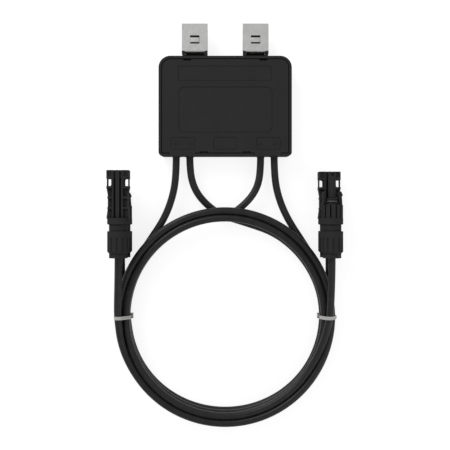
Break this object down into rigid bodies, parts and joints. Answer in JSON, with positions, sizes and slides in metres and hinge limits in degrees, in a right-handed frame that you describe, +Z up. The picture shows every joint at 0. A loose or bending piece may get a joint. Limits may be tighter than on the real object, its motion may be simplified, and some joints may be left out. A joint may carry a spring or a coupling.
{
  "type": "solar power optimizer",
  "caption": "Black potted solar power optimizer with steel spring clips, coiled leads tied in a ring and four windowed or latching plug connectors.",
  "frame": {"origin": "on the floor below the middle of the box with its clips, with the unit lying on its back", "axes": "+X across the box towards the output leads, +Y from the leads towards the spring clips, +Z up out of the front lid"},
  "size_m": [0.2412, 0.4215, 0.0452],
  "materials": {
    "housing_plastic": "fine moulded texture",
    "spring_steel": "satin rolled",
    "connector_plastic": "satin moulded",
    "claw_plastic": "moulded",
    "seal_rubber": "matte",
    "contact_metal": "tin plated",
    "lead_jacket": "satin jacket",
    "tie_nylon": "moulded nylon",
    "board_laminate": "solder mask",
    "ferrite": "ground ferrite",
    "copper_winding": "enamelled copper",
    "film_capacitor": "moulded case",
    "chip_epoxy": "moulded epoxy",
    "spreader_aluminium": "sheet",
    "pad_silicone": "soft sheet",
    "potting_silicone": "cured silicone"
  },
  "bodies": {
    "root": {"housing_body": "housing_plastic", "front_lid": "housing_plastic", "clip_left": "spring_steel", "clip_right": "spring_steel", "upper_left_pin_shell": "connector_plastic", "lower_left_socket_body": "connector_plastic", "upper_right_socket_body": "connector_plastic", "lower_right_pin_shell": "connector_plastic", "upper_left_cap_nut": "connector_plastic", "lower_left_cap_nut": "connector_plastic", "upper_right_cap_nut": "connector_plastic", "lower_right_cap_nut": "connector_plastic", "upper_left_gland_claw": "claw_plastic", "lower_left_gland_claw": "claw_plastic", "upper_right_gland_claw": "claw_plastic", "lower_right_gland_claw": "claw_plastic", "upper_left_gland_seal": "seal_rubber", "lower_left_gland_seal": "seal_rubber", "upper_right_gland_seal": "seal_rubber", "lower_right_gland_seal": "seal_rubber", "lower_left_ring_seal": "seal_rubber", "upper_right_ring_seal": "seal_rubber", "input_outer_grommet": "seal_rubber", "input_inner_grommet": "seal_rubber", "output_inner_grommet": "seal_rubber", "output_outer_grommet": "seal_rubber", "upper_left_contact_pin": "contact_metal", "lower_right_contact_pin": "contact_metal", "lower_left_contact_socket": "contact_metal", "upper_right_contact_socket": "contact_metal", "lead_terminals": "contact_metal", "input_outer_lead_start": "lead_jacket", "input_outer_lead_end": "lead_jacket", "input_inner_lead_start": "lead_jacket", "input_inner_lead_end": "lead_jacket", "output_outer_lead_start": "lead_jacket", "output_outer_lead_end": "lead_jacket", "output_inner_lead_start": "lead_jacket", "output_inner_lead_end": "lead_jacket", "lead_coil": "lead_jacket", "left_tie": "tie_nylon", "right_tie": "tie_nylon", "circuit_board": "board_laminate", "inductor_core": "ferrite", "signal_transformer": "ferrite", "inductor_winding": "copper_winding", "input_capacitors": "film_capacitor", "output_capacitors": "film_capacitor", "power_transistors": "chip_epoxy", "controller_chip": "chip_epoxy", "heat_spreader": "spreader_aluminium", "thermal_pad": "pad_silicone", "potting_compound": "potting_silicone"}
  },
  "joints": []
}
